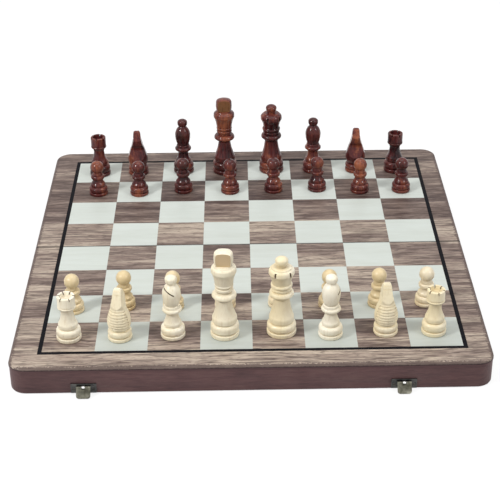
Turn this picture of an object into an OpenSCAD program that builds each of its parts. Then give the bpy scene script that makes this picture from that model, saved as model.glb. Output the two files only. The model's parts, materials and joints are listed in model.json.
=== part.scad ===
// Folding chess box, laid open as a board, with its chess set standing on it.
// The origin is on the table under the middle of the fold line.
// X runs along the fold, Y away from the player of the light pieces, Z up.

/* [Board] */
// Side of one playing square
square_w = 41.6; // [36:0.1:48]
// Width of the black line round the squares
line_w = 3.4; // [2:0.1:6]
// Width of the walnut border outside the black line
border_w = 20.2; // [17:0.1:28]
// Shift of the squares and the line to the right of the middle
field_x = 1.4; // [-2:0.1:2]
// Radius of the outer corners, seen from above
corner_r = 14; // [11:0.5:16]
// Gap between the two halves at the fold
fold_gap = 0.3; // [0.2:0.05:0.6]
// Depth of the inlaid squares and line
inlay_t = 0.5; // [0.3:0.05:0.7]
// Thickness of the walnut face over its core
face_t = 0.9; // [0.8:0.05:1.2]
// Thickness of the playing panel, face and core together
panel_t = 3.2; // [2.8:0.1:5]
// Radius of the rolled upper edge
edge_r = 2.2; // [1.5:0.1:2.6]

/* [Box] */
// Height of one half, from its rim to the playing surface
half_h = 23; // [20:0.5:32]
// Thickness of the outer and side walls
wall_t = 9; // [8:0.5:11]
// Thickness of the walls along the fold
fold_wall_t = 9.5; // [9:0.5:12]
// Step in from the edge of the panel to the walls
wall_step = 0.4; // [0.2:0.1:0.8]
// Thickness of the felt lining
felt_t = 1.2; // [0.8:0.1:2]

/* [Hinges] */
// Distance of each hinge from the side of the board
hinge_in = 72; // [50:1:110]
// Length of a hinge along the fold
hinge_l = 22; // [18:1:30]
// Width of a hinge leaf, from the axis of the pin
leaf_w = 7.6; // [7:0.1:8.6]
// Thickness of the hinge leaves
leaf_t = 0.6; // [0.5:0.05:0.8]
// Diameter of the rolled barrels
barrel_d = 2.2; // [2:0.1:2.6]
// Diameter of the pins
pin_d = 1; // [0.8:0.05:1.2]

/* [Catches] */
// Distance of the left catch from the left side of the board
catch_left_in = 59; // [40:1:90]
// Distance of the right catch from the right side of the board
catch_right_in = 71; // [40:1:90]
// Width of a catch plate
plate_w = 20; // [19:0.5:26]
// Height of a catch plate
plate_h = 8.5; // [8:0.1:12]
// Thickness of the catch and keeper plates
plate_t = 0.8; // [0.6:0.05:1.2]
// Height of the catch pin above the rim
catch_pin_z = 6.3; // [5.8:0.1:6.8]
// Width of the swinging tongue
tongue_w = 11.2; // [9:0.1:12]
// Thickness of the swinging tongue
tongue_t = 0.6; // [0.5:0.05:0.8]
// Drop of the inside of the hook past the rim
hook_drop = 1.9; // [1.7:0.05:2.4]
// Width of a keeper plate
keeper_w = 14; // [13:0.5:20]
// Height of a keeper plate
keeper_h = 7; // [6.5:0.1:9]

/* [Screws] */
// Diameter of the screw shanks
screw_d = 1.5; // [1.2:0.1:1.8]
// Diameter of the countersunk heads
head_d = 2.8; // [2.4:0.1:3.2]
// Length of the screws
screw_l = 6; // [4:0.5:7]

/* [King] */
// Height of the kings
king_h = 77; // [72:0.5:90]
// Diameter of the foot of the kings
king_foot_d = 23.2; // [21:0.1:28]
// Diameter of the neck under the collar of the kings
king_neck_d = 11.2; // [9:0.1:13.5]
// Height of the widest part of the collar of the kings
king_collar_z = 37.8; // [34:0.1:42]
// Diameter of the collar of the kings
king_collar_d = 19.6; // [17:0.1:22]
// Height of the finial of the kings
king_finial_h = 12.5; // [10:0.1:14]
// Distance between the two flats of the finial
king_flat_w = 9.4; // [7:0.1:12]

/* [Queen] */
// Height of the queens
queen_h = 69.6; // [66:0.1:82]
// Diameter of the foot of the queens
queen_foot_d = 23.8; // [21:0.1:28]
// Diameter of the neck under the collar of the queens
queen_neck_d = 12.2; // [9:0.1:13.5]
// Height of the widest part of the collar of the queens
queen_collar_z = 37.6; // [34:0.1:42]
// Diameter of the collar of the queens
queen_collar_d = 19.6; // [17:0.1:22]
// Diameter of the flattened ball on the crown
queen_ball_d = 10.4; // [8:0.1:12]

/* [Bishop] */
// Height of the bishops
bishop_h = 55.6; // [53:0.1:65]
// Diameter of the foot of the bishops
bishop_foot_d = 19.7; // [18:0.1:24]
// Diameter of the neck under the collar of the bishops
bishop_neck_d = 9.6; // [8:0.1:11]
// Height of the widest part of the collar of the bishops
bishop_collar_z = 25.2; // [23:0.1:28]
// Diameter of the collar of the bishops
bishop_collar_d = 15.7; // [14:0.1:18]
// Diameter of the mitre
mitre_d = 14.8; // [13:0.1:16]
// Diameter of the flattened ball on the mitre
mitre_ball_d = 9.4; // [7.5:0.1:10]

/* [Knight] */
// Height of the knights
knight_h = 45.6; // [43:0.1:54]
// Diameter of the foot of the knights
knight_foot_d = 19.6; // [18:0.1:24]
// Width of the head of the knights at its top
knight_top_w = 7.2; // [6:0.1:9]
// Number of cuts across the mane
mane_cuts = 8; // [4:1:9]

/* [Rook] */
// Height of the rooks
rook_h = 39.8; // [38:0.1:48]
// Diameter of the foot of the rooks
rook_foot_d = 20; // [18:0.1:24]
// Diameter of the neck of the rooks
rook_neck_d = 9.8; // [8:0.1:11.5]
// Diameter of the turret
turret_d = 15.2; // [13:0.1:17]
// Number of cuts in the rim of the turret
turret_cuts = 6; // [4:1:8]

/* [Pawn] */
// Height of the pawns
pawn_h = 34; // [32:0.1:41]
// Diameter of the foot of the pawns
pawn_foot_d = 17.6; // [16:0.1:21]
// Diameter of the neck of the pawns
pawn_neck_d = 8.4; // [7:0.1:9.5]
// Diameter of the collar of the pawns
pawn_collar_d = 12.6; // [11:0.1:14]
// Diameter of the ball head of the pawns
pawn_ball_d = 12.4; // [11:0.1:13.5]

/* [Hidden] */
$fn = 64;
half_w = 4 * square_w + line_w + border_w;   // also the depth of one half
field_w = 4 * square_w;
line_out_w = field_w + line_w;
wall_face = half_w - wall_step;
inner_w = wall_face - wall_t;
wall_h = half_h - panel_t;
hinge_x = half_w - hinge_in;
catch_left_x = catch_left_in - half_w;
catch_right_x = half_w - catch_right_in;
rim_z = barrel_d / 2;                        // the barrels stand on the table
top_z = rim_z + half_h;
inlay_seam = 0.05;
past = 1;                                    // how far a cut runs past a face
felt_air = 0.3;

pin_air = 0.05;
knuckle_gap = 0.2;
barrel_air = 0.3;
leaf_sink = 0.1;
mortise_air = 0.1;
leaf_screw_x = 0.32 * hinge_l;
leaf_screw_y = 4.8;
head_h = 0.7;
slot_w = 0.4;
slot_deep = 0.3;
screw_air = 0.05;
middle_knuckle = [[-hinge_l / 6 + knuckle_gap / 2, hinge_l / 6 - knuckle_gap / 2]];
end_knuckles = [[-hinge_l / 2, -hinge_l / 6 - knuckle_gap / 2],
                [hinge_l / 6 + knuckle_gap / 2, hinge_l / 2]];

plate_lift = 0.3;
plate_screw_x = plate_w / 2 - 2.3;
plate_screw_z = 3.7;
curl_w = 2.6;
curl_air = 0.2;
pin_out = plate_t + curl_air + barrel_d / 2; // from the wall to the catch pin
tongue_l = catch_pin_z + hook_drop + tongue_t;
tongue_corner_r = 2.4;
notch_drop = barrel_d / 2 + 0.4;
hook_w = 7;
hook_in = 0.3;
table_air = 0.1;
tongue_tilt = acos((catch_pin_z + rim_z - table_air) / norm([tongue_l, hook_in]))
    + atan2(hook_in, tongue_l);
bar_w = 8;
bar_t = 0.9;
bar_out = 1.3;
bar_air = 0.3;
bar_z = hook_drop - bar_air - bar_t;
keeper_screw_x = keeper_w / 2 - 2.2;
keeper_screw_z = 4.8;

walnut = [0.55, 0.45, 0.40];
pale = [0.86, 0.88, 0.84];
black = [0.10, 0.10, 0.11];
mahogany = [0.36, 0.21, 0.20];
fibreboard = [0.62, 0.49, 0.36];
green = [0.09, 0.22, 0.15];
pewter = [0.32, 0.31, 0.28];
maple = [0.92, 0.84, 0.66];
rosewood = [0.35, 0.13, 0.10];

// Where each piece stands from the middle of its square, as set out by hand
light_rank_off = [[-1, -1.1], [-1.8, -1.3], [-1.1, 0.7], [-1.2, 1.4],
                  [2.6, 3.2], [0, -1.9], [2.7, 0.9], [-0.2, 0.4]];
light_pawn_off = [[-1.2, -1.3], [-0.7, 3], [-2.2, 1.4], [-0.9, 1.6],
                  [1.5, 2.7], [1.5, 0.1], [0.8, 1], [-1.6, 2]];
dark_rank_off = [[0.8, -1.8], [-3.3, -0.5], [-0.5, 1.8], [-1.6, 0.8],
                 [2.4, 1.9], [1.4, 0.4], [1.5, -0.9], [-1.9, -2]];
dark_pawn_off = [[2.5, -1.9], [-0.1, -3.1], [0.3, 1.7], [3.4, -1.3],
                 [3.2, -0.3], [3.4, 1.1], [2.4, -3.9], [0.3, -3.8]];
// Turn of each back rank piece about its own axis, in degrees
light_turn = [0, -14, 0, -4, 0, 240, 6, 40];
dark_turn = [20, 184, 270, 2, 10, 270, 176, 0];
rank_kinds = ["rook", "knight", "bishop", "king", "queen", "bishop", "knight", "rook"];
rank_names = ["rook_left", "knight_left", "bishop_left", "king",
              "queen", "bishop_right", "knight_right", "rook_right"];

// The box is drawn as its rear half, rim at Z = 0, and the front half mirrors it
module rear_half() {
    translate([0, 0, rim_z]) children();
}

module front_half() {
    translate([0, 0, rim_z]) mirror([0, 1, 0]) children();
}

// Outline of one half seen from above, drawn in by inset on its three outer sides
module half_outline(inset = 0) {
    w = half_w - inset;
    r = corner_r - inset;
    translate([-w, fold_gap / 2]) square([2 * w, w - r - fold_gap / 2]);
    translate([-(w - r), fold_gap / 2]) square([2 * (w - r), w - fold_gap / 2]);
    for (s = [-1, 1]) translate([s * (w - r), w - r]) circle(r);
}

module quarter_round() {
    intersection() {
        circle(edge_r);
        square(edge_r);
    }
}

// The panel's outer form, with its upper edge rolled over on the three outer sides
module rolled_panel() {
    straight = half_w - corner_r;
    translate([0, 0, wall_h]) {
        linear_extrude(panel_t - edge_r) half_outline();
        linear_extrude(panel_t) half_outline(edge_r);
    }
    translate([0, 0, half_h - edge_r]) {
        translate([-straight, half_w - edge_r, 0]) rotate([90, 0, 90])
            linear_extrude(2 * straight) quarter_round();
        for (s = [0, 1]) mirror([s, 0, 0]) {
            translate([half_w - edge_r, straight, 0]) rotate([90, 0, 0])
                linear_extrude(straight - fold_gap / 2) quarter_round();
            translate([straight, straight, 0])
                rotate_extrude() translate([corner_r - edge_r, 0]) quarter_round();
        }
    }
}

module core_block() {
    translate([0, 0, wall_h]) linear_extrude(panel_t - face_t) half_outline(face_t);
}

// One inlaid square, counted from the left edge and from the fold
module inlay(column, row) {
    x0 = field_x + (column - 4) * square_w + inlay_seam;
    x1 = field_x + (column - 3) * square_w - inlay_seam;
    y0 = row == 0 ? fold_gap / 2 : row * square_w + inlay_seam;
    y1 = (row + 1) * square_w - inlay_seam;
    translate([x0, y0, half_h - inlay_t]) cube([x1 - x0, y1 - y0, inlay_t]);
}

// Every second square of a half: parity 1 starts pale beside the left edge
module pale_squares(parity) {
    for (column = [0:7], row = [0:3])
        if ((column + row) % 2 == parity) inlay(column, row);
}

module black_line() {
    translate([field_x, 0, half_h - inlay_t]) linear_extrude(inlay_t) difference() {
        translate([-line_out_w, fold_gap / 2]) square([2 * line_out_w, line_out_w - fold_gap / 2]);
        translate([-field_w, -past]) square([2 * field_w, field_w + past]);
    }
}

module walnut_face(parity) {
    difference() {
        rolled_panel();
        core_block();
        pale_squares(parity);
        black_line();
    }
}

// Walls, mitred at the outer corners and butted against the fold wall
module wall_ring() {
    difference() {
        half_outline(wall_step);
        translate([-inner_w, -past]) square([2 * inner_w, inner_w + past]);
    }
}

module outer_wall() {
    corner = half_w + wall_step;
    linear_extrude(wall_h) intersection() {
        wall_ring();
        polygon([[-corner, corner], [corner, corner], [inner_w, inner_w], [-inner_w, inner_w]]);
    }
}

module side_wall() {
    corner = half_w + wall_step;
    linear_extrude(wall_h) intersection() {
        wall_ring();
        polygon([[inner_w, -past], [inner_w, inner_w], [corner, corner], [corner, -past]]);
    }
}

module at_hinges() {
    for (s = [-1, 1]) translate([s * hinge_x, 0, 0]) children();
}

module at_leaf_screws() {
    for (s = [-1, 1]) translate([s * leaf_screw_x, leaf_screw_y, leaf_sink]) children();
}

// Screws point along +Z from the flat of their countersunk head
module screw() {
    difference() {
        union() {
            cylinder(h = head_h, d1 = head_d, d2 = screw_d);
            cylinder(h = screw_l, d = screw_d);
        }
        translate([-head_d, -slot_w / 2, -past]) cube([2 * head_d, slot_w, past + slot_deep]);
    }
}

module screw_hole() {
    translate([0, 0, -past]) cylinder(h = past, d = head_d + 2 * screw_air);
    cylinder(h = head_h, d1 = head_d + 2 * screw_air, d2 = screw_d + 2 * screw_air);
    cylinder(h = screw_l + screw_air, d = screw_d + 2 * screw_air);
}

module fold_wall() {
    mortise_l = hinge_l + 2 * mortise_air;
    difference() {
        translate([-inner_w, fold_gap / 2, 0]) cube([2 * inner_w, fold_wall_t, wall_h]);
        at_hinges() {
            translate([-mortise_l / 2, -past, -past])
                cube([mortise_l, leaf_w + mortise_air + past, leaf_sink + leaf_t + past]);
            translate([-mortise_l / 2, 0, 0]) rotate([0, 90, 0])
                cylinder(h = mortise_l, r = barrel_d / 2 + barrel_air);
            at_leaf_screws() screw_hole();
        }
    }
}

module felt() {
    x = inner_w - felt_air;
    y = fold_gap / 2 + fold_wall_t + felt_air;
    translate([-x, y, wall_h - felt_t]) cube([2 * x, inner_w - felt_air - y, felt_t]);
}

// Hinge leaves lie in the rims; the rear leaf has the end knuckles
module hinge_leaf(knuckles) {
    start = barrel_d / 2 + barrel_air;
    difference() {
        union() {
            translate([-hinge_l / 2, start, leaf_sink]) cube([hinge_l, leaf_w - start, leaf_t]);
            for (k = knuckles) translate([k[0], 0, 0]) {
                translate([0, 0, leaf_sink]) cube([k[1] - k[0], leaf_w, leaf_t]);
                rotate([0, 90, 0]) cylinder(h = k[1] - k[0], d = barrel_d);
            }
        }
        translate([-hinge_l, 0, 0]) rotate([0, 90, 0])
            cylinder(h = 2 * hinge_l, d = pin_d + 2 * pin_air);
        at_leaf_screws() screw_hole();
    }
}

// Catches are drawn on a wall face at Y = 0 that looks towards -Y
module at_catches() {
    for (x = [catch_left_x, catch_right_x]) translate([x, -wall_face, rim_z]) children();
}

module at_keepers() {
    for (x = [catch_left_x, catch_right_x])
        translate([x, wall_face, rim_z]) rotate([0, 0, 180]) children();
}

module on_plate_screws(x, z) {
    for (s = [-1, 1]) translate([s * x, -plate_t, z]) rotate([-90, 0, 0]) children();
}

module catch_bore() {
    translate([-plate_w, 0, 0]) rotate([0, 90, 0])
        cylinder(h = 2 * plate_w, d = pin_d + 2 * pin_air);
}

module catch_plate() {
    difference() {
        union() {
            translate([-plate_w / 2, -plate_t, plate_lift]) cube([plate_w, plate_t, plate_h]);
            translate([-curl_w / 2, -pin_out, catch_pin_z]) {
                rotate([0, 90, 0]) cylinder(h = curl_w, d = barrel_d);
                translate([0, 0, barrel_d / 2 - leaf_t]) cube([curl_w, pin_out, leaf_t]);
            }
        }
        translate([0, -pin_out, catch_pin_z]) catch_bore();
        on_plate_screws(plate_screw_x, plate_screw_z) screw_hole();
    }
}

module tongue_outline() {
    x = tongue_w / 2 - tongue_corner_r;
    translate([-tongue_w / 2, tongue_corner_r]) square([tongue_w, tongue_l - tongue_corner_r]);
    translate([-x, 0]) square([2 * x, tongue_corner_r + past]);
    for (s = [-1, 1]) translate([s * x, tongue_corner_r]) circle(tongue_corner_r);
}

// The tongue hangs straight down from its pin before it is tilted out to the table
module tongue() {
    notch_w = curl_w + 2 * curl_air;
    curl_l = (tongue_w - notch_w) / 2;
    translate([0, -pin_out, catch_pin_z]) rotate([-tongue_tilt, 0, 0]) difference() {
        union() {
            translate([0, tongue_t - barrel_d / 2, -tongue_l]) rotate([90, 0, 0])
                linear_extrude(tongue_t) tongue_outline();
            for (x = [-tongue_w / 2, notch_w / 2]) translate([x, 0, 0])
                rotate([0, 90, 0]) cylinder(h = curl_l, d = barrel_d);
            translate([-hook_w / 2, -barrel_d / 2, -tongue_l])
                cube([hook_w, barrel_d / 2 + hook_in, tongue_t]);
        }
        catch_bore();
        translate([-notch_w / 2, -barrel_d, -notch_drop])
            cube([notch_w, 2 * barrel_d, notch_drop + barrel_d]);
    }
}

module keeper() {
    difference() {
        union() {
            translate([-keeper_w / 2, -plate_t, plate_lift]) cube([keeper_w, plate_t, keeper_h]);
            translate([-bar_w / 2, -plate_t - bar_out, bar_z]) cube([bar_w, bar_out + plate_t, bar_t]);
        }
        on_plate_screws(keeper_screw_x, keeper_screw_z) screw_hole();
    }
}

// A turned disc or bead from z0 to z1 with its edge rounded by e
module bead(r, z0, z1, e) {
    translate([0, z0]) square([r - e, z1 - z0]);
    translate([0, z0 + e]) square([r, z1 - z0 - 2 * e]);
    for (z = [z0 + e, z1 - e]) translate([r - e, z]) circle(e);
}

// A hollow flank that sweeps from radius r0 at z0 up to r1 at z1
module flank(r0, z0, r1, z1, power = 1.8) {
    steps = 9;
    polygon(concat([[0, z0]],
        [for (k = [0:steps]) let (t = k / steps)
            [r0 > r1 ? r1 + (r0 - r1) * pow(1 - t, power) : r0 + (r1 - r0) * pow(t, power),
             z0 + (z1 - z0) * t]],
        [[0, z1]]));
}

module half_disc(r, z) {
    intersection() {
        translate([0, z]) circle(r);
        translate([0, z - r]) square([r, 2 * r]);
    }
}

// A flattened ball from z0 to z1
module flat_ball(r, z0, z1) {
    intersection() {
        bead(r, z0, z1, 0.48 * r);
        half_disc(1.25 * r, z1 - 1.25 * r);
    }
}

// An arc-sided barrel of radius r at height z, cut off at z0 and z1, with arc radius bow
module bowed(r, z, bow, z0, z1) {
    intersection() {
        translate([r - bow, z]) circle(bow);
        translate([0, z0]) square([r, z1 - z0]);
    }
}

// Foot, step, bell and hollow stem, up to the neck
module turned_foot(foot_d, disc_h, step_h, bell_d, bell_h, neck_d, neck_z) {
    foot_r = foot_d / 2;
    step_z = disc_h + step_h;
    bead(foot_r, 0, disc_h, 1.1);
    bead(foot_r - 0.2, disc_h - 0.5, step_z, 0.42 * step_h);
    bead(bell_d / 2, step_z - 0.5, step_z + bell_h, 0.4 * bell_h);
    flank(bell_d / 2 - 0.2, step_z + 0.6 * bell_h, neck_d / 2, neck_z);
}

module collar(neck_d, collar_d, z, h) {
    polygon([[0, z - h], [neck_d / 2, z - h], [collar_d / 2 - 0.9, z - 0.3 * h], [0, z]]);
    bead(collar_d / 2, z - 0.45 * h, z + 0.35 * h, 0.36 * h);
}

module king() {
    cup_z = king_collar_z + 8;
    rim_top = king_h - king_finial_h;
    finial_r = 7.9;
    dome_r = 16;
    difference() {
        union() {
            rotate_extrude() {
                turned_foot(king_foot_d, 4, 8.4, 20, 6.8, king_neck_d, king_collar_z - 5);
                collar(king_neck_d, king_collar_d, king_collar_z, 5.6);
                bead(6, king_collar_z, cup_z, 0.5);
                bead(7.3, king_collar_z + 4.2, king_collar_z + 6.8, 1.2);
                bead(7.5, cup_z, cup_z + 2, 0.9);
                flank(7, cup_z + 0.5, 9.6, rim_top - 6, 1.5);
                bead(10, rim_top - 7, rim_top - 0.8, 2.7);
                bead(7.8, rim_top - 3, rim_top, 0.8);
            }
            rotate_extrude() intersection() {
                bead(finial_r, rim_top - 1, king_h, 2.2);
                half_disc(dome_r, king_h - dome_r);
                bowed(finial_r, rim_top + 0.5 * king_finial_h, 20, rim_top - 1, king_h);
            }
        }
        for (s = [0, 180]) rotate([0, 0, s])
            translate([-finial_r, king_flat_w / 2, rim_top + 0.3])
                cube([2 * finial_r, finial_r, king_finial_h + past]);
    }
}

module queen() {
    cup_z = queen_collar_z + 8;
    ball_h = 6.9;
    ball_z = queen_h - ball_h;
    rim_top = ball_z - 1.6;
    crown_r = 10.2;
    crown_cuts = 5;
    cut_w = 1.5;
    cut_r = 3.2;
    cut_deep = 1.2;
    difference() {
        rotate_extrude() {
            turned_foot(queen_foot_d, 4, 7, 20, 6.8, queen_neck_d, queen_collar_z - 5);
            collar(queen_neck_d, queen_collar_d, queen_collar_z, 5.4);
            bead(7, queen_collar_z, cup_z, 0.5);
            bead(7.8, queen_collar_z + 2.6, queen_collar_z + 5, 1.1);
            bead(8.6, cup_z - 2.2, cup_z + 0.6, 1.2);
            flank(7.4, cup_z - 0.5, crown_r - 0.3, rim_top - 6, 1.5);
            bead(crown_r, rim_top - 7.5, rim_top - 1, 2.9);
            bead(8, rim_top - 3, rim_top, 0.8);
            bead(4, rim_top - 1, ball_z + 1, 0.5);
            flat_ball(queen_ball_d / 2, ball_z, queen_h);
        }
        for (k = [0:crown_cuts - 1]) rotate([90, 0, 360 / crown_cuts * k - 120.5])
            translate([crown_r - cut_deep + cut_r, rim_top - 3.6, 0])
                cylinder(h = cut_w, r = cut_r, center = true);
    }
}

module bishop() {
    ball_h = 7.4;
    ball_z = bishop_h - ball_h;
    mitre_z = bishop_collar_z + 14.2;
    mitre_top = ball_z + 0.2;
    mitre_r = mitre_d / 2;
    cut_w = 0.9;
    cut_end = 2.8;
    cut_tilt = 31;
    difference() {
        rotate_extrude() {
            turned_foot(bishop_foot_d, 3.4, 7.2, 14.4, 4, bishop_neck_d, bishop_collar_z - 4);
            collar(bishop_neck_d, bishop_collar_d, bishop_collar_z, 4.6);
            bead(6.3, bishop_collar_z + 1, bishop_collar_z + 4.2, 1.1);
            bowed(mitre_r, mitre_z, 26, bishop_collar_z + 2, mitre_z);
            bowed(mitre_r, mitre_z, 11.6, mitre_z - 0.1, mitre_top);
            flat_ball(mitre_ball_d / 2, ball_z, bishop_h);
        }
        translate([0, 0, mitre_z + 2.6]) rotate([0, cut_tilt, 0])
            translate([cut_end - mitre_d, -mitre_d / 2, -cut_w / 2]) cube([mitre_d, mitre_d, cut_w]);
    }
}

module rook() {
    ring_z = rook_h - 10.4;
    turret_r = turret_d / 2;
    cut_w = 1;
    cut_deep = 2.4;
    difference() {
        rotate_extrude() {
            turned_foot(rook_foot_d, 3.6, 7.4, 15.8, 5, rook_neck_d, ring_z - 4);
            flank(rook_neck_d / 2, ring_z - 4.2, turret_r - 0.6, ring_z + 1, 1.5);
            bead(turret_r - 0.2, ring_z - 0.4, ring_z + 1.6, 0.9);
            bead(turret_r, ring_z + 1.8, rook_h, 0.7);
            bead(turret_r - 0.7, ring_z, rook_h - 2, 0.3);
        }
        translate([0, 0, rook_h - 3.6]) cylinder(h = 4, d1 = turret_d - 6.4, d2 = turret_d - 4.4);
        for (k = [0:turret_cuts - 1]) rotate([0, 0, 360 / turret_cuts * k - 122])
            translate([turret_r - 4, -cut_w / 2, rook_h - cut_deep]) cube([turret_r, cut_w, 6]);
    }
}

module pawn() {
    ball_z = pawn_h - pawn_ball_d / 2;
    collar_z = ball_z - 0.5 * pawn_ball_d - 1.6;
    rotate_extrude() {
        turned_foot(pawn_foot_d, 3, 5.8, 13.6, 3, pawn_neck_d, collar_z - 3.6);
        bead(pawn_collar_d / 2, collar_z - 4.2, collar_z, 1.9);
        bead(pawn_neck_d / 2 + 0.4, collar_z - 1, ball_z - 3, 0.4);
        half_disc(pawn_ball_d / 2, ball_z);
    }
}

// Side view of the horse's head, looking towards +Y: Y forward and the share of the head's height
head_side = [[-10, 0], [-10, 0.36], [-7.4, 0.5], [-5.6, 0.62], [-3.9, 0.74], [-2.3, 0.85],
             [-0.9, 0.94], [0.6, 1], [2.2, 0.99], [3.6, 0.95], [4.6, 0.89], [6.6, 0.8],
             [8.3, 0.72], [8.8, 0.67], [8.2, 0.62], [6.6, 0.6], [5, 0.615], [3.5, 0.58],
             [2.9, 0.52], [3.4, 0.46], [5, 0.38], [7, 0.29], [10, 0.2], [10, 0]];
// Front view of the head: half its width and the share of its height
head_flank = [[10, 0], [10, 0.2], [9.1, 0.28], [8, 0.37], [6.6, 0.49], [5.1, 0.61], [4.1, 0.72], [3.7, 0.82]];

module knight() {
    foot_h = 8.6;
    head_h_k = knight_h - foot_h;
    swell_z = foot_h + 6.4;
    swell_r = 9.5;
    cut_step = 2.2;
    sheet_w = 4 * swell_r;                   // wider than the head
    rotate_extrude() {
        bead(knight_foot_d / 2, 0, 3.2, 1.1);
        bead(knight_foot_d / 2 - 0.2, 2.7, foot_h + 0.4, 2.7);
    }
    difference() {
        intersection() {
            rotate([90, 0, 90]) linear_extrude(sheet_w, center = true)
                polygon([for (p = head_side) [p[0], foot_h + p[1] * head_h_k]]);
            rotate([90, 0, 0]) linear_extrude(sheet_w, center = true)
                polygon(concat(
                    [for (p = head_flank) [p[0], foot_h + p[1] * head_h_k]],
                    [[knight_top_w / 2, knight_h + 1], [-knight_top_w / 2, knight_h + 1]],
                    [for (k = [len(head_flank) - 1:-1:0])
                        [-head_flank[k][0], foot_h + head_flank[k][1] * head_h_k]]));
            union() {
                rotate_extrude() {
                    bowed(swell_r, swell_z, 11, foot_h - 0.2, swell_z);
                    bowed(swell_r, swell_z, 30, swell_z - 0.1, swell_z + 14);
                }
                translate([-10, -10, swell_z + 13.9]) cube([20, 20, knight_h]);
            }
        }
        intersection() {
            translate([-10, -20, 0]) cube([20, 17, knight_h]);
            for (k = [0:mane_cuts - 1]) let (z = foot_h + 1.6 + k * cut_step, dz = z - swell_z)
                rotate_extrude() translate(
                    [swell_r - (dz > 0 ? 30 - sqrt(900 - dz * dz) : 11 - sqrt(121 - dz * dz)) + 0.15, z])
                    circle(0.55);
        }
    }
}

module chess_piece(kind) {
    if (kind == "king") king();
    if (kind == "queen") queen();
    if (kind == "bishop") bishop();
    if (kind == "knight") knight();
    if (kind == "rook") rook();
    if (kind == "pawn") pawn();
}

// Stands a piece on a square, counted from the left and from the light player's edge
module on_square(column, row, off) {
    translate([field_x + (column - 3.5) * square_w + off[0], (row - 3.5) * square_w + off[1], top_z])
        children();
}

module light_rank_piece(c) {
    color(maple) on_square(c, 0, light_rank_off[c]) rotate([0, 0, light_turn[c]])
        chess_piece(rank_kinds[c]);
}

module light_pawn(c) {
    color(maple) on_square(c, 1, light_pawn_off[c]) pawn();
}

module dark_pawn(c) {
    color(rosewood) on_square(c, 6, dark_pawn_off[c]) pawn();
}

module dark_rank_piece(c) {
    color(rosewood) on_square(c, 7, dark_rank_off[c]) rotate([0, 0, dark_turn[c]])
        chess_piece(rank_kinds[c]);
}

module front_panel_core() { color(fibreboard) front_half() core_block(); }
module front_walnut_face() { color(walnut) front_half() walnut_face(0); }
module front_pale_squares() { color(pale) front_half() pale_squares(0); }
module front_black_line() { color(black) front_half() black_line(); }
module front_left_wall() { color(mahogany) front_half() mirror([1, 0, 0]) side_wall(); }
module front_right_wall() { color(mahogany) front_half() side_wall(); }
module front_fold_wall() { color(mahogany) front_half() fold_wall(); }
module front_felt_lining() { color(green) front_half() felt(); }
module front_hinge_leaves() { color(pewter) front_half() at_hinges() hinge_leaf(middle_knuckle); }
module rear_panel_core() { color(fibreboard) rear_half() core_block(); }
module rear_walnut_face() { color(walnut) rear_half() walnut_face(1); }
module rear_pale_squares() { color(pale) rear_half() pale_squares(1); }
module rear_black_line() { color(black) rear_half() black_line(); }
module rear_left_wall() { color(mahogany) rear_half() mirror([1, 0, 0]) side_wall(); }
module rear_right_wall() { color(mahogany) rear_half() side_wall(); }
module rear_fold_wall() { color(mahogany) rear_half() fold_wall(); }
module rear_felt_lining() { color(green) rear_half() felt(); }
module rear_hinge_leaves() { color(pewter) rear_half() at_hinges() hinge_leaf(end_knuckles); }

module front_outer_wall() {
    color(mahogany) difference() {
        front_half() outer_wall();
        at_catches() on_plate_screws(plate_screw_x, plate_screw_z) screw_hole();
    }
}

module rear_outer_wall() {
    color(mahogany) difference() {
        rear_half() outer_wall();
        at_keepers() on_plate_screws(keeper_screw_x, keeper_screw_z) screw_hole();
    }
}

module front_screws() {
    color(pewter) {
        front_half() at_hinges() at_leaf_screws() screw();
        at_catches() on_plate_screws(plate_screw_x, plate_screw_z) screw();
    }
}

module rear_screws() {
    color(pewter) {
        rear_half() at_hinges() at_leaf_screws() screw();
        at_keepers() on_plate_screws(keeper_screw_x, keeper_screw_z) screw();
    }
}

module hinge_pins() {
    color(pewter) rear_half() at_hinges()
        translate([-hinge_l / 2, 0, 0]) rotate([0, 90, 0]) cylinder(h = hinge_l, d = pin_d);
}

module catch_plates() { color(pewter) at_catches() catch_plate(); }

module catch_pins() {
    color(pewter) at_catches() translate([-tongue_w / 2, -pin_out, catch_pin_z])
        rotate([0, 90, 0]) cylinder(h = tongue_w, d = pin_d);
}

module catch_tongue(x) {
    color(pewter) translate([x, -wall_face, rim_z]) tongue();
}

module catch_keepers() { color(pewter) at_keepers() keeper(); }

front_panel_core();
front_walnut_face();
front_pale_squares();
front_black_line();
front_outer_wall();
front_left_wall();
front_right_wall();
front_fold_wall();
front_felt_lining();
front_hinge_leaves();
front_screws();
hinge_pins();
rear_panel_core();
rear_walnut_face();
rear_pale_squares();
rear_black_line();
rear_outer_wall();
rear_left_wall();
rear_right_wall();
rear_fold_wall();
rear_felt_lining();
rear_hinge_leaves();
rear_screws();
catch_plates();
catch_pins();
catch_tongue(catch_left_x);  // left_catch_tongue
catch_tongue(catch_right_x);  // right_catch_tongue
catch_keepers();
for (c = [0:7]) {
    light_rank_piece(c);
    light_pawn(c);
    dark_rank_piece(c);
    dark_pawn(c);
}
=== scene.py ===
import cmath
import json
import math

import bmesh
import bpy
from mathutils import Matrix, Vector

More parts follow.
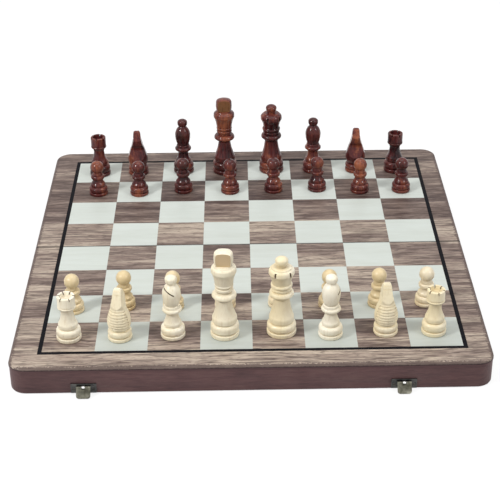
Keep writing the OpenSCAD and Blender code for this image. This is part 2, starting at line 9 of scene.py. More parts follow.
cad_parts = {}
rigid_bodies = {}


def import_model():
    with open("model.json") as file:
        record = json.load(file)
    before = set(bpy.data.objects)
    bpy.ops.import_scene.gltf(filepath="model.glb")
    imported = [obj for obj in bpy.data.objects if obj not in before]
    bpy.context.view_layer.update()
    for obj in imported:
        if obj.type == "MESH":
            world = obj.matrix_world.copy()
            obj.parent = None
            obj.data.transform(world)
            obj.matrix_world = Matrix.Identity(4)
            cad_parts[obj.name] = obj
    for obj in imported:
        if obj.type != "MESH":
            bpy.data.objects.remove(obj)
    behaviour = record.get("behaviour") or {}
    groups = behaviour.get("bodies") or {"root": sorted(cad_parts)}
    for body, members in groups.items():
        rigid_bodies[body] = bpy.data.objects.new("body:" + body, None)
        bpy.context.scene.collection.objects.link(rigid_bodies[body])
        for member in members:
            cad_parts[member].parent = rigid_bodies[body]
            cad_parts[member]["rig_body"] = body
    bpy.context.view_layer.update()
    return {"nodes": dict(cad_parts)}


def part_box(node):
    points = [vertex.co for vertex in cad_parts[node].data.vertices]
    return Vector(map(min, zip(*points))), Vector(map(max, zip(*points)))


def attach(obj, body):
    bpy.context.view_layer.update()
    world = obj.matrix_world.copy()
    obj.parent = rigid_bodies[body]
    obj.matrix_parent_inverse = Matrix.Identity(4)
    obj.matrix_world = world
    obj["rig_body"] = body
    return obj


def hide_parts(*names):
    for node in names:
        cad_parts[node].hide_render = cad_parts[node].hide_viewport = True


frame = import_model()
nodes = frame["nodes"]
mm = 0.001

# What several pieces share, in millimetres
board = {
    "square": 41.6,
    "half": 190.0,
    "top": 24.1,  # height of the playing surface
    "fieldX": 1.4,  # the squares lie this far to the right of the middle
    "turned": 72,  # steps round a turned piece
}


def srgb(red, green, blue):
    def linear(value):
        share = value / 255
        return share / 12.92 if share <= 0.04045 else ((share + 0.055) / 1.055) ** 2.4
    return (linear(red), linear(green), linear(blue), 1.0)


def show(thing):
    bpy.context.scene.collection.objects.link(thing)
    return thing


def addNode(tree, kind, inputs=None, **settings):
    node = tree.nodes.new("ShaderNode" + kind)
    for name, value in settings.items():
        setattr(node, name, value)
    for key, value in (inputs or {}).items():
        if isinstance(value, bpy.types.NodeSocket):
            tree.links.new(value, node.inputs[key])
        else:
            node.inputs[key].default_value = value
    return node


def maths(tree, operation, a, b=0.0, clamp=False):
    return addNode(tree, "Math", {0: a, 1: b}, operation=operation, use_clamp=clamp).outputs[0]


def blendColours(tree, factor, a, b, how="MIX"):
    node = addNode(tree, "Mix", {0: factor, 6: a, 7: b}, data_type="RGBA", blend_type=how)
    return node.outputs[2]


def coordinate(tree, vector, name):
    return addNode(tree, "SeparateXYZ", {0: vector}).outputs[name]


def remap(tree, value, low, high, newLow=0.0, newHigh=1.0):
    node = addNode(tree, "MapRange", {"Value": value, "From Min": low, "From Max": high,
                                      "To Min": newLow, "To Max": newHigh})
    return node.outputs[0]


def ramp(tree, value, stops):
    node = addNode(tree, "ValToRGB", {"Fac": value})
    marks = node.color_ramp.elements
    while len(marks) < len(stops):
        marks.new(1.0)
    for mark, (place, colour) in zip(marks, stops):
        mark.position = place
        mark.color = colour
    return node.outputs["Color"]


# Camera, lamps and the ground
view = {
    "lens": 98.41,
    "sensor": 36.0,
    "yaw": 0.523,  # degrees to the right
    "pitch": 30.05,  # degrees down
    "roll": -0.576,
    "target": (-0.0007, -0.2579, 0.0),  # in squares, on the playing surface
    "distance": 29.14,  # in squares
}


def addCamera():
    square = board["square"] * mm
    turn = (Matrix.Rotation(math.radians(-view["yaw"]), 4, "Z")
            @ Matrix.Rotation(math.radians(90 - view["pitch"]), 4, "X")
            @ Matrix.Rotation(math.radians(view["roll"]), 4, "Z"))
    aim = Vector(view["target"]) * square + Vector((board["fieldX"], 0, board["top"])) * mm
    place = aim + turn.to_3x3() @ Vector((0, 0, view["distance"] * square))
    cameraData = bpy.data.cameras.new("photoCamera")
    cameraData.lens = view["lens"]
    cameraData.sensor_width = view["sensor"]
    camera = show(bpy.data.objects.new("photoCamera", cameraData))
    camera.matrix_world = Matrix.Translation(place) @ turn
    bpy.context.scene.camera = camera


light = {
    "low": 0.12,  # sky level near the horizon
    "high": 0.62,  # what the sky gains up to the zenith
    "behind": 0.5,  # share that the sky loses towards the back
    "lamps": {
        # name: direction that it comes from, distance, side of the lamp, watts
        "keyLeft": ((-0.66, -0.40, 0.62), 1.7, 0.30, 15.0),
        "keyRight": ((0.66, -0.42, 0.62), 1.7, 0.40, 7.5),
        "topSheet": ((0.0, 0.10, 1.0), 1.6, 1.3, 9.5),
    },
}


def addLamps():
    middle = Vector((0, 0, 0.04))
    for name, (direction, distance, side, watts) in light["lamps"].items():
        lampData = bpy.data.lights.new(name, "AREA")
        lampData.shape = "SQUARE"
        lampData.size = side
        lampData.energy = watts
        lamp = show(bpy.data.objects.new(name, lampData))
        away = Vector(direction).normalized()
        lamp.location = middle + away * distance
        lamp.rotation_euler = away.to_track_quat("Z", "Y").to_euler()


def addWorld():
    world = bpy.data.worlds.new("studio")
    world.use_nodes = True
    tree = world.node_tree
    tree.nodes.clear()
    rays = addNode(tree, "LightPath")
    seen = maths(tree, "MAXIMUM", rays.outputs["Is Camera Ray"], rays.outputs["Is Transmission Ray"])
    seen = maths(tree, "MAXIMUM", seen, rays.outputs["Is Glossy Ray"])
    toward = addNode(tree, "SeparateXYZ", {0: addNode(tree, "TexCoord").outputs["Generated"]}).outputs
    rise = maths(tree, "MULTIPLY", toward["Z"], toward["Z"])
    level = maths(tree, "ADD", maths(tree, "MULTIPLY", rise, light["high"]), light["low"])
    back = remap(tree, toward["Y"], 0.1, 0.8, 1.0, 1.0 - light["behind"])
    level = maths(tree, "MULTIPLY", level, back)
    soft = addNode(tree, "Background", {"Color": (1, 1, 1, 1), "Strength": level})
    plain = addNode(tree, "Background", {"Color": (1, 1, 1, 1), "Strength": 1.0})
    mix = addNode(tree, "MixShader", {0: seen, 1: soft.outputs[0], 2: plain.outputs[0]})
    addNode(tree, "OutputWorld", {"Surface": mix.outputs[0]})
    bpy.context.scene.world = world


ground = {
    "half": 3.0,  # half its side, in metres
    "colour": (0.50, 0.50, 0.50, 1.0),
    "glow": 0.62,  # keeps the ground white round its shadow
    "clear": 0.55,  # lets the camera see the half that folds down under the ground
    "fade": (0.7, 1.6),  # from here to there, in metres, it turns into the white background
}


def addGround():
    bm = bmesh.new()
    bmesh.ops.create_grid(bm, x_segments=1, y_segments=1, size=ground["half"])
    mesh = bpy.data.meshes.new("ground")
    bm.to_mesh(mesh)
    bm.free()
    floor = show(bpy.data.objects.new("ground", mesh))
    material = bpy.data.materials.new("paleGround")
    material.use_nodes = True
    tree = material.node_tree
    tree.nodes.clear()
    rays = addNode(tree, "LightPath")
    seen = maths(tree, "MAXIMUM", rays.outputs["Is Camera Ray"], rays.outputs["Is Glossy Ray"])
    level = maths(tree, "MULTIPLY", seen, ground["glow"])
    matt = addNode(tree, "BsdfDiffuse", {"Color": ground["colour"]})
    glow = addNode(tree, "Emission", {"Color": (1, 1, 1, 1), "Strength": level})
    both = addNode(tree, "AddShader", {0: matt.outputs[0], 1: glow.outputs[0]})
    place = addNode(tree, "TexCoord").outputs["Object"]
    away = addNode(tree, "VectorMath", {0: place}, operation="LENGTH").outputs["Value"]
    plain = addNode(tree, "Emission", {"Color": (1, 1, 1, 1), "Strength": seen})
    far = remap(tree, away, *ground["fade"])
    faded = addNode(tree, "MixShader", {0: far, 1: both.outputs[0], 2: plain.outputs[0]})
    through = maths(tree, "MULTIPLY", rays.outputs["Is Camera Ray"], ground["clear"])
    clear = addNode(tree, "BsdfTransparent", {"Color": (1, 1, 1, 1)})
    surface = addNode(tree, "MixShader", {0: through, 1: faded.outputs[0], 2: clear.outputs[0]})
    addNode(tree, "OutputMaterial", {"Surface": surface.outputs[0]})
    mesh.materials.append(material)


addCamera()
addLamps()
addWorld()
addGround()
print("camera, lamps, world and ground are set")


# Effects that several finishes use
def newGroup(name, wanted, given):
    tree = bpy.data.node_groups.new(name, "ShaderNodeTree")
    for label, kind, value in wanted:
        socket = tree.interface.new_socket(label, in_out="INPUT", socket_type="NodeSocket" + kind)
        if value is not None:
            socket.default_value = value
    for label, kind in given:
        tree.interface.new_socket(label, in_out="OUTPUT", socket_type="NodeSocket" + kind)
    return tree, tree.nodes.new("NodeGroupInput").outputs, tree.nodes.new("NodeGroupOutput").inputs


def useGroup(tree, group, inputs):
    return addNode(tree, "Group", inputs, node_tree=group).outputs


def stretchedNoise(tree, vector, scale, detail=2.0, roughness=0.5):
    long = addNode(tree, "VectorMath", {0: vector, 1: scale}, operation="MULTIPLY")
    noise = addNode(tree, "TexNoise", {"Vector": long.outputs[0], "Scale": 1.0,
                                       "Detail": detail, "Roughness": roughness})
    return noise.outputs[0]


# Wood with its grain along the vector's X: Band is the broad tone, Figure the streaks, Fibre the fine texture,
# Line the thin wandering lines and Pore the short dark dashes
def makeWoodGrain():
    tree, given, result = newGroup(
        "woodGrain",
        [("Vector", "Vector", None), ("Figure Scale", "Float", 1.0), ("Fibre Scale", "Float", 1.0),
         ("Wave", "Float", 0.002), ("Pore Amount", "Float", 0.3)],
        [("Band", "Float"), ("Figure", "Float"), ("Fibre", "Float"), ("Line", "Float"), ("Pore", "Float")])
    drift = stretchedNoise(tree, given["Vector"], (7.0, 26.0, 26.0), 2.0)
    push = maths(tree, "MULTIPLY", maths(tree, "SUBTRACT", drift, 0.5), given["Wave"])
    shift = addNode(tree, "CombineXYZ", {"Y": push, "Z": push})
    bent = addNode(tree, "VectorMath", {0: given["Vector"], 1: shift.outputs[0]}, operation="ADD").outputs[0]
    broad = addNode(tree, "VectorMath", {0: bent, "Scale": given["Figure Scale"]}, operation="SCALE").outputs[0]
    fine = addNode(tree, "VectorMath", {0: bent, "Scale": given["Fibre Scale"]}, operation="SCALE").outputs[0]
    band = stretchedNoise(tree, broad, (5.0, 60.0, 60.0), 3.0, 0.55)
    figure = stretchedNoise(tree, broad, (30.0, 200.0, 200.0), 4.0, 0.66)
    fibre = stretchedNoise(tree, fine, (75.0, 620.0, 620.0), 4.0, 0.7)
    contour = stretchedNoise(tree, broad, (10.0, 180.0, 180.0), 3.0, 0.6)
    apart = maths(tree, "ABSOLUTE", maths(tree, "SUBTRACT", contour, 0.5))
    line = maths(tree, "SUBTRACT", 1.0, maths(tree, "MULTIPLY", apart, 18.0), clamp=True)
    dash = stretchedNoise(tree, fine, (150.0, 1500.0, 1500.0), 1.0)
    limit = remap(tree, given["Pore Amount"], 0.0, 1.0, 0.75, 0.45)
    pore = maths(tree, "MULTIPLY", maths(tree, "SUBTRACT", dash, limit), 14.0, clamp=True)
    for label, value in (("Band", band), ("Figure", figure), ("Fibre", fibre), ("Line", line), ("Pore", pore)):
        tree.links.new(value, result[label])
    return tree


def mixTone(tree, *shares):
    total = None
    for value, share in shares:
        part = maths(tree, "MULTIPLY", value, share)
        total = part if total is None else maths(tree, "ADD", total, part)
    return total


# Uneven handling: soft smudges for roughness and a slight change of tone
def makeHandling():
    tree, given, result = newGroup(
        "handling", [("Vector", "Vector", None), ("Size", "Float", 0.01)], [("Smudge", "Float")])
    scale = maths(tree, "DIVIDE", 1.0, given["Size"])
    noise = addNode(tree, "TexNoise", {"Vector": given["Vector"], "Scale": scale, "Detail": 3.0,
                                       "Roughness": 0.6})
    tree.links.new(noise.outputs[0], result["Smudge"])
    return tree


# Edge is 1 on worn convex edges, broken up by noise, and also serves as a painted edge highlight; the groove output
# is 1 in hollows and serves as painted shade
def makeWornEdgeHighlightAndGrooveShade():
    tree, given, result = newGroup(
        "wornEdgeHighlightAndGrooveShade", [("Vector", "Vector", None), ("Sharpness", "Float", 12.0)],
        [("Edge", "Float"), ("GrooveShade", "Float")])
    bend = addNode(tree, "NewGeometry").outputs["Pointiness"]
    patch = addNode(tree, "TexNoise", {"Vector": given["Vector"], "Scale": 260.0, "Detail": 2.0}).outputs[0]
    above = maths(tree, "SUBTRACT", bend, 0.5)
    edge = maths(tree, "MULTIPLY", above, given["Sharpness"], clamp=True)
    broken = maths(tree, "MULTIPLY", edge, remap(tree, patch, 0.3, 0.6), clamp=True)
    tree.links.new(broken, result["Edge"])
    tree.links.new(maths(tree, "MULTIPLY", above, maths(tree, "MULTIPLY", given["Sharpness"], -1.0), clamp=True),
                   result["GrooveShade"])
    return tree


woodGrain = makeWoodGrain()
handling = makeHandling()
wornEdgeHighlightAndGrooveShade = makeWornEdgeHighlightAndGrooveShade()


def newMaterial(name):
    material = bpy.data.materials.new(name)
    material.use_nodes = True
    tree = material.node_tree
    tree.nodes.clear()
    place = addNode(tree, "TexCoord").outputs["Object"]
    return material, tree, place


def turned(tree, place, degrees):
    return addNode(tree, "Mapping", {"Vector": place, "Rotation": [math.radians(a) for a in degrees]}).outputs[0]


def finish(tree, colour, roughness, height=None, depth=0.00002, **shader):
    inputs = {"Base Color": colour, "Roughness": roughness}
    inputs.update({name.replace("_", " "): value for name, value in shader.items()})
    if height is not None:
        bump = addNode(tree, "Bump", {"Height": height, "Distance": depth, "Strength": 1.0})
        inputs["Normal"] = bump.outputs[0]
    surface = addNode(tree, "BsdfPrincipled", inputs)
    addNode(tree, "OutputMaterial", {"Surface": surface.outputs[0]})


walnutFinish = {
    "dark": srgb(70, 54, 50),
    "middle": srgb(134, 117, 108),
    "light": srgb(188, 172, 156),
    "pore": srgb(66, 52, 50),
    # broad tone along the sheet, from the front edge to the back
    "tone": [(0.0, 0.72), (0.055, 0.7), (0.075, 0.6), (0.38, 0.59), (0.41, 0.64), (0.48, 0.64), (0.5, 0.72),
             (0.6, 0.7), (0.63, 0.34), (0.72, 0.34), (0.8, 0.42), (0.95, 0.42), (1.0, 0.46)],
    "patch": 0.14,  # how far a square's tone strays from its neighbours
    "roll": 3.4,  # width of the dark, frayed zone at the rolled edge
    "edge": srgb(88, 73, 69),
    "seam": srgb(58, 44, 45),
    "stain": srgb(96, 70, 71),
    "fold": 0.2,  # share of its colour that the edge along the fold keeps under the painted fold shade
    "range": (1.16, 1.71),  # tone that shows dark and tone that shows light
    "line": 0.75,  # strength of the thin dark lines
    "dash": 0.6,  # strength of the pores
    "seamDepth": (1.1, 1.7),  # below the playing surface, where the face turns into its seam
    "stainDepth": (2.1, 2.3),
}


# Painted shade: darkens a colour in a thin line along the fold, where the two halves meet in a groove
def foldShade(tree, colour, across, keep):
    near = maths(tree, "ABSOLUTE", across)
    shade = remap(tree, near, 0.8 * mm, 1.3 * mm, keep, 1.0)
    return blendColours(tree, 1.0, colour, shade, "MULTIPLY")


def makeWalnut():
    material, tree, place = newMaterial("walnutVeneer")
    grain = useGroup(tree, woodGrain, {"Vector": place, "Wave": 0.009, "Pore Amount": 0.55})
    spot = addNode(tree, "SeparateXYZ", {0: place}).outputs
    along = remap(tree, spot["Y"], -board["half"] * mm, board["half"] * mm)
    broad = ramp(tree, along, [(share, (tone,) * 3 + (1,)) for share, tone in walnutFinish["tone"]])
    moved = addNode(tree, "VectorMath", {0: place, 1: (-board["fieldX"] * mm, 0, 0)}, operation="ADD").outputs[0]
    cell = addNode(tree, "VectorMath", {0: moved, "Scale": 1 / (board["square"] * mm)}, operation="SCALE").outputs[0]
    cell = addNode(tree, "VectorMath", {0: cell}, operation="FLOOR").outputs[0]
    patch = maths(tree, "SUBTRACT", addNode(tree, "TexWhiteNoise", {"Vector": cell}).outputs[0], 0.5)
    field = addNode(tree, "SeparateXYZ", {0: moved}).outputs
    reach = maths(tree, "MAXIMUM", maths(tree, "ABSOLUTE", field["X"]), maths(tree, "ABSOLUTE", field["Y"]))
    patch = maths(tree, "MULTIPLY", patch, maths(tree, "LESS_THAN", reach, 4 * board["square"] * mm))
    tone = mixTone(tree, (grain["Band"], 1.0), (grain["Figure"], 0.6), (grain["Fibre"], 0.5), (broad, 0.8),
                   (patch, walnutFinish["patch"]))
    tone = remap(tree, tone, *walnutFinish["range"])
    wood = ramp(tree, tone, [(0.0, walnutFinish["dark"]), (0.5, walnutFinish["middle"]),
                             (1.0, walnutFinish["light"])])
    for mark, share in (("Line", walnutFinish["line"]), ("Pore", walnutFinish["dash"])):
        wood = blendColours(tree, maths(tree, "MULTIPLY", grain[mark], share), wood, walnutFinish["pore"])
    fray = addNode(tree, "TexNoise", {"Vector": place, "Scale": 620.0, "Detail": 3.0, "Roughness": 0.6}).outputs[0]
    fray = maths(tree, "SUBTRACT", fray, 0.5)
    height = maths(tree, "ADD", spot["Z"], maths(tree, "MULTIPLY", fray, 1.5 * mm))
    top = board["top"]
    outward = maths(tree, "MAXIMUM", maths(tree, "ABSOLUTE", spot["X"]), maths(tree, "ABSOLUTE", spot["Y"]))
    outward = maths(tree, "ADD", outward, maths(tree, "MULTIPLY", fray, 9.0 * mm))
    rolled = remap(tree, outward, (board["half"] - walnutFinish["roll"]) * mm,
                   (board["half"] - walnutFinish["roll"] + 1.0) * mm, 0.0, 0.85)
    wood = blendColours(tree, rolled, wood, walnutFinish["edge"])
    seam = remap(tree, height, *((top - depth) * mm for depth in walnutFinish["seamDepth"]))
    colour = blendColours(tree, seam, wood, walnutFinish["seam"])
    stain = remap(tree, spot["Z"], *((top - depth) * mm for depth in walnutFinish["stainDepth"]))
    colour = blendColours(tree, stain, colour, walnutFinish["stain"])
    colour = foldShade(tree, colour, spot["Y"], walnutFinish["fold"])
    relief = maths(tree, "SUBTRACT", grain["Fibre"], grain["Pore"])
    smudge = useGroup(tree, handling, {"Vector": place, "Size": 0.03})["Smudge"]
    finish(tree, colour, remap(tree, smudge, 0.3, 0.7, 0.42, 0.55), relief, 0.00004, Specular_IOR_Level=0.2)
    return material


paleFinish = {
    "main": srgb(206, 212, 206),
    "streak": srgb(196, 201, 193),
    "fold": 0.7,
    "front": 0.8,  # painted shade: share of its colour that the first rank keeps, so the near rows read darker
}


def makePale():
    material, tree, place = newMaterial("paleVeneer")
    grain = useGroup(tree, woodGrain, {"Vector": place, "Figure Scale": 0.8, "Fibre Scale": 0.7,
                                       "Wave": 0.004, "Pore Amount": 0.1})
    tone = mixTone(tree, (grain["Band"], 0.4), (grain["Figure"], 0.3), (grain["Fibre"], 0.3))
    colour = ramp(tree, tone, [(0.35, paleFinish["streak"]), (0.6, paleFinish["main"])])
    across = coordinate(tree, place, "Y")
    colour = foldShade(tree, colour, across, paleFinish["fold"])
    # painted shade: the pale squares darken towards the front of the board
    front = remap(tree, across, -4 * board["square"] * mm, -1.5 * board["square"] * mm, paleFinish["front"], 1.0)
    colour = blendColours(tree, 1.0, colour, front, "MULTIPLY")
    finish(tree, colour, 0.36, grain["Fibre"], 0.00001, Specular_IOR_Level=0.25)
    return material


def makeBlack():
    material, tree, place = newMaterial("blackVeneer")
    grain = useGroup(tree, woodGrain, {"Vector": place, "Fibre Scale": 0.8})
    colour = ramp(tree, grain["Fibre"], [(0.3, srgb(12, 12, 16)), (0.7, srgb(24, 23, 27))])
    finish(tree, colour, 0.6, grain["Fibre"], 0.00001, Specular_IOR_Level=0.05)
    return material


mahoganyFinish = {
    "dark": srgb(74, 51, 53),
    "middle": srgb(98, 69, 69),
    "light": srgb(110, 82, 79),
}


def makeMahogany(name, degrees):
    material, tree, place = newMaterial(name)
    along = turned(tree, place, degrees)
    grain = useGroup(tree, woodGrain, {"Vector": along, "Figure Scale": 1.4, "Fibre Scale": 0.8,
                                       "Wave": 0.004, "Pore Amount": 0.5})
    cloud = addNode(tree, "TexNoise", {"Vector": place, "Scale": 30.0, "Detail": 4.0}).outputs[0]
    tone = mixTone(tree, (cloud, 0.4), (grain["Figure"], 0.15), (grain["Fibre"], 0.45))
    wood = ramp(tree, tone, [(0.34, mahoganyFinish["dark"]), (0.5, mahoganyFinish["middle"]),
                             (0.66, mahoganyFinish["light"])])
    wood = blendColours(tree, maths(tree, "MULTIPLY", grain["Pore"], 0.3), wood, mahoganyFinish["dark"])
    # darker towards the bottom of the wall and towards both of its ends
    low = remap(tree, coordinate(tree, place, "Z"), 1.0 * mm, 9.0 * mm, 0.8, 1.0)
    aside = maths(tree, "ABSOLUTE", coordinate(tree, place, "X"))
    ends = remap(tree, aside, 100.0 * mm, 170.0 * mm, 1.05, 0.88)
    colour = blendColours(tree, 1.0, wood, maths(tree, "MULTIPLY", low, ends), "MULTIPLY")
    relief = maths(tree, "SUBTRACT", grain["Fibre"], grain["Pore"])
    smudge = useGroup(tree, handling, {"Vector": place, "Size": 0.02})["Smudge"]
    finish(tree, colour, remap(tree, smudge, 0.3, 0.7, 0.4, 0.55), relief, 0.00002, Specular_IOR_Level=0.3)
    return material


# Each fitting has a main tone, an olive tone and a light tone for its convex edges, which shows wear and is also a
# painted edge highlight
metalFinish = {
    "tongue": (srgb(66, 65, 57), srgb(88, 86, 73), srgb(150, 148, 134)),
    "plate": (srgb(46, 46, 48), srgb(72, 72, 72), srgb(96, 95, 92)),
    "screw": (srgb(26, 26, 28), srgb(52, 50, 50), srgb(84, 82, 78)),
}


# Painted highlight: a near-white spot on the knuckle in the middle of each catch
knuckleHighlight = {
    "spots": [(-131.0, -192.9, 8.3), (119.0, -192.9, 8.3)],
    "radius": 1.5,
    "colour": srgb(246, 246, 242),
}


def makeMetal(name, kind):
    material, tree, place = newMaterial(name)
    main, olive, wornEdgeHighlight = metalFinish[kind]
    smudge = useGroup(tree, handling, {"Vector": place, "Size": 0.002})["Smudge"]
    edge = useGroup(tree, wornEdgeHighlightAndGrooveShade, {"Vector": place, "Sharpness": 10.0})["Edge"]
    base = blendColours(tree, remap(tree, smudge, 0.35, 0.65), main, olive)
    # lighter convex edges: wear, and a painted edge highlight
    colour = blendColours(tree, edge, base, wornEdgeHighlight)
    # paints the highlight spot onto the metal
    for spot in knuckleHighlight["spots"]:
        centre = [value * mm for value in spot]
        gap = addNode(tree, "VectorMath", {0: place, 1: centre}, operation="DISTANCE").outputs["Value"]
        near = remap(tree, gap, knuckleHighlight["radius"] * mm, knuckleHighlight["radius"] * 0.7 * mm)
        colour = blendColours(tree, near, colour, knuckleHighlight["colour"])
    finish(tree, colour, remap(tree, smudge, 0.3, 0.7, 0.36, 0.55), smudge, 0.00002, Metallic=1.0)
    return material


def makeFelt():
    material, tree, place = newMaterial("greenFelt")
    fuzz = addNode(tree, "TexNoise", {"Vector": place, "Scale": 900.0, "Detail": 4.0, "Roughness": 0.7}).outputs[0]
    patch = addNode(tree, "TexNoise", {"Vector": place, "Scale": 45.0, "Detail": 2.0}).outputs[0]
    tone = maths(tree, "ADD", maths(tree, "MULTIPLY", fuzz, 0.6), maths(tree, "MULTIPLY", patch, 0.4))
    colour = ramp(tree, tone, [(0.35, srgb(22, 58, 38)), (0.6, srgb(46, 92, 62))])
    finish(tree, colour, 0.95, fuzz, 0.0003, Sheen_Weight=0.5, Sheen_Roughness=0.5)
    return material


def makeCore():
    material, tree, place = newMaterial("fibreboard")
    fleck = addNode(tree, "TexNoise", {"Vector": place, "Scale": 1400.0, "Detail": 3.0}).outputs[0]
    colour = ramp(tree, fleck, [(0.35, srgb(132, 104, 76)), (0.65, srgb(168, 138, 104))])
    finish(tree, colour, 0.85, fleck, 0.00008)
    return material


mapleFinish = {
    "pale": srgb(252, 245, 226),
    "yellow": srgb(243, 228, 190),
    "honey": srgb(221, 198, 152),  # of the pawns
    "pawnEdge": (-128.0, -122.0),  # along Y, between the back rank and the pawns
    "line": srgb(208, 182, 138),
    "bare": srgb(206, 180, 140),
    # painted shade in the hollows of the turning
    "grooveShade": srgb(150, 126, 88),
    # painted shade for the inside of notches, slots and cuts
    "cut": srgb(104, 80, 54),
    "knot": srgb(108, 78, 48),
    "knotPlace": (25.9, -151.6, 50.8),  # on the stem of the queen
    "knotSize": (1.2, 2.5, 2.8),
}


def makeMaple(name, shade=None):
    material, tree, place = newMaterial(name)
    upright = turned(tree, place, (0, 90, 0))
    grain = useGroup(tree, woodGrain, {"Vector": upright, "Figure Scale": 3.0, "Fibre Scale": 0.7,
                                       "Wave": 0.003, "Pore Amount": 0.12})
    among = stretchedNoise(tree, place, (26.0, 26.0, 1.0), 1.0)
    blank = blendColours(tree, remap(tree, among, 0.40, 0.62), mapleFinish["pale"], mapleFinish["yellow"])
    rank = remap(tree, coordinate(tree, place, "Y"), *(edge * mm for edge in mapleFinish["pawnEdge"]))
    aged = maths(tree, "MULTIPLY", rank, remap(tree, among, 0.3, 0.6, 0.35, 0.95))
    blank = blendColours(tree, aged, blank, mapleFinish["honey"])
    tone = mixTone(tree, (grain["Figure"], 0.6), (grain["Fibre"], 0.4))
    lines = maths(tree, "MULTIPLY", remap(tree, tone, 0.5, 0.68), 0.4)
    colour = mapleFinish[shade] if shade else blank
    colour = blendColours(tree, lines, colour, mapleFinish["line"])
    away = place
    for operation, key in (("SUBTRACT", "knotPlace"), ("DIVIDE", "knotSize")):
        away = addNode(tree, "VectorMath", {0: away, 1: [value * mm for value in mapleFinish[key]]},
                       operation=operation).outputs[0]
    away = addNode(tree, "VectorMath", {0: away}, operation="LENGTH").outputs["Value"]
    knot = remap(tree, maths(tree, "ADD", away, grain["Fibre"]), 1.5, 0.9, 0.0, 0.8)
    colour = blendColours(tree, knot, colour, mapleFinish["knot"])
    # painted shade: the hollows of the turned profile are darkened towards the groove colour
    grooveShade = useGroup(tree, wornEdgeHighlightAndGrooveShade, {"Vector": place, "Sharpness": 9.0})["GrooveShade"]
    colour = blendColours(tree, maths(tree, "MULTIPLY", grooveShade, 0.6), colour, mapleFinish["grooveShade"])
    smudge = useGroup(tree, handling, {"Vector": place, "Size": 0.006})["Smudge"]
    finish(tree, colour, remap(tree, smudge, 0.3, 0.7, 0.3, 0.45), grain["Fibre"], 0.00001,
           Specular_IOR_Level=0.4, Coat_Weight=0.2, Coat_Roughness=0.2)
    return material


lacquerFinish = {
    "deep": srgb(36, 13, 17),
    "red": srgb(88, 37, 37),
    "orange": srgb(156, 90, 62),
    "bare": srgb(122, 84, 54),
    # painted shade for the inside of notches, slots and cuts
    "cut": srgb(34, 16, 16),
}


def makeLacquer(name, shade=None):
    material, tree, place = newMaterial(name)
    upright = turned(tree, place, (0, 90, 0))
    grain = useGroup(tree, woodGrain, {"Vector": upright, "Figure Scale": 3.0, "Fibre Scale": 0.8,
                                       "Wave": 0.003, "Pore Amount": 0.4})
    among = stretchedNoise(tree, place, (40.0, 40.0, 30.0), 2.0)
    tone = mixTone(tree, (grain["Band"], 0.2), (grain["Figure"], 0.3), (grain["Fibre"], 0.2), (among, 0.6))
    stained = ramp(tree, tone, [(0.53, lacquerFinish["deep"]), (0.66, lacquerFinish["red"]),
                                (0.82, lacquerFinish["orange"])])
    colour = lacquerFinish[shade] if shade else stained
    colour = blendColours(tree, maths(tree, "MULTIPLY", grain["Pore"], 0.5), colour, lacquerFinish["deep"])
    # lighter orange convex edges: wear, and a painted edge highlight
    edge = useGroup(tree, wornEdgeHighlightAndGrooveShade, {"Vector": place, "Sharpness": 8.0})["Edge"]
    colour = blendColours(tree, maths(tree, "MULTIPLY", edge, 0.6), colour, lacquerFinish["orange"])
    smudge = useGroup(tree, handling, {"Vector": place, "Size": 0.005})["Smudge"]
    finish(tree, colour, remap(tree, smudge, 0.3, 0.7, 0.22, 0.36), grain["Fibre"], 0.00001,
           Specular_IOR_Level=0.08, Coat_Weight=0.4, Coat_Roughness=0.12)
    return material


materials = {
    "walnut": makeWalnut(),
    "pale": makePale(),
    "black": makeBlack(),
    "wallAlong": makeMahogany("mahoganyAlong", (0, 0, 0)),
    "wallAcross": makeMahogany("mahoganyAcross", (0, 0, 90)),
    "tongue": makeMetal("antiqueTongue", "tongue"),
    "plate": makeMetal("antiquePlate", "plate"),
    "screw": makeMetal("darkScrew", "screw"),
    "felt": makeFelt(),
    "core": makeCore(),
    "light": makeMaple("maple"),
    "lightBare": makeMaple("mapleFacet", "bare"),
    "lightCut": makeMaple("mapleCut", "cut"),
    "dark": makeLacquer("redLacquer"),
    "darkBare": makeLacquer("lacquerFacet", "bare"),
    "darkCut": makeLacquer("lacquerCut", "cut"),
}
print("finishes are made")


# Meshes: turned profiles, blocks and cuts
def toMesh(bm, name):
    bmesh.ops.recalc_face_normals(bm, faces=bm.faces)
    mesh = bpy.data.meshes.new(name)
    bm.to_mesh(mesh)
    bm.free()
    return mesh


# A profile lists radius, height and, for an arc, how far it bows outward from its chord, in millimetres
def tracePath(profile, stepAngle=0.16):
    path = [0j]
    for radius, height, *bows in profile:
        start, end = path[-1], complex(radius, height)
        if bows:
            chord, bow = end - start, bows[0]
            arcRadius = (abs(chord) ** 2 / 4 + bow ** 2) / (2 * bow)
            centre = (start + end) / 2 + 1j * chord / abs(chord) * (arcRadius - bow)
            sweep = 2 * math.asin(abs(chord) / 2 / arcRadius)
            steps = max(2, math.ceil(abs(sweep) / stepAngle))
            path += [centre + (start - centre) * cmath.rect(1, sweep * k / steps) for k in range(1, steps)]
        path.append(end)
    return path


def turnedMesh(profile, name="turned"):
    bm = bmesh.new()
    verts = [bm.verts.new((point.real * mm, 0, point.imag * mm)) for point in tracePath(profile)]
    edges = [bm.edges.new(pair) for pair in zip(verts, verts[1:])]
    bmesh.ops.spin(bm, geom=verts + edges, cent=(0, 0, 0), axis=(0, 0, 1), angle=math.tau,
                   steps=board["turned"], use_merge=True)
    bmesh.ops.remove_doubles(bm, verts=bm.verts, dist=0.0000005)
    return toMesh(bm, name)


def block(size, place=(0, 0, 0), turn=None):
    bm = bmesh.new()
    matrix = Matrix.Scale(mm, 4) @ (turn or Matrix()) @ Matrix.Translation(place) @ Matrix.Diagonal((*size, 1))
    bmesh.ops.create_cube(bm, size=1.0, matrix=matrix)
    return toMesh(bm, "block")


